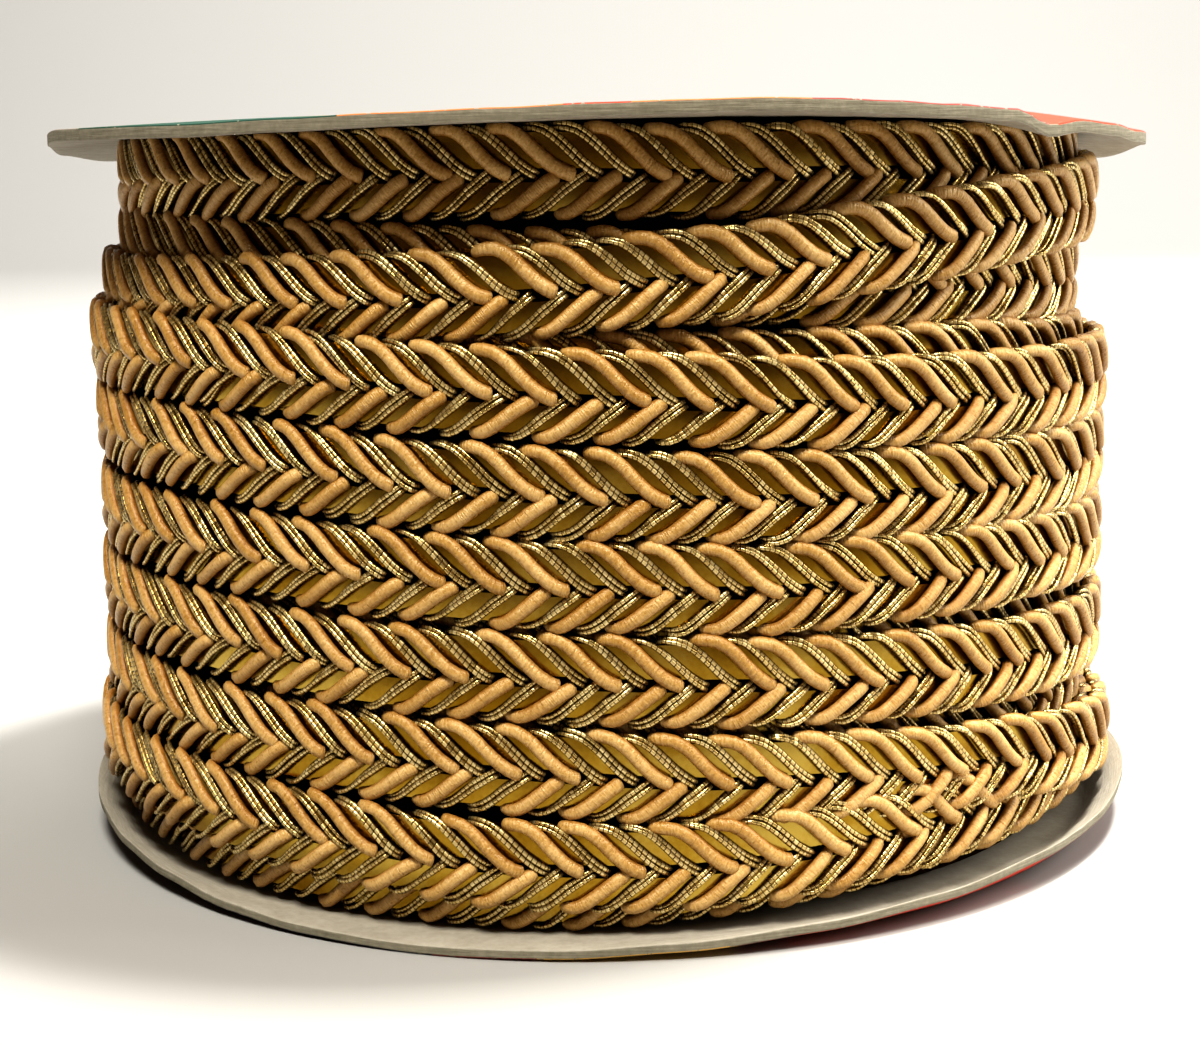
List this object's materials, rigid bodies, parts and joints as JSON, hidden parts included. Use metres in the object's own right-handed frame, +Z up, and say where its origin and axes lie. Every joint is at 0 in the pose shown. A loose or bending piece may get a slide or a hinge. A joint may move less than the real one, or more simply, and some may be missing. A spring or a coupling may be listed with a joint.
{
  "type": "reel of braid trim",
  "caption": "Flat metallic braid trim in a herringbone of tan gimp cords and gold threads, wound in many turns on a reel between two card discs.",
  "frame": {"origin": "on the axis of the reel, at the lower face of the bottom disc, on the surface that the reel stands on", "axes": "+Z up along the axis of the reel; -Y towards the side where the turns descend to the right"},
  "size_m": [0.116, 0.116, 0.0753],
  "materials": {
    "card": "grey board with a printed outer face, matt, cut edge bare",
    "tan_gimp": "silky tan thread wrapped closely round a core",
    "gold_thread": "fine metallic gold thread, wrapped, bright cells with dark lines between",
    "gold_strip": "flat satin gold strip under the cords"
  },
  "bodies": {
    "root": {"bottom_disc": "card", "wound_braid": "tan_gimp", "top_disc": "card"}
  },
  "joints": []
}
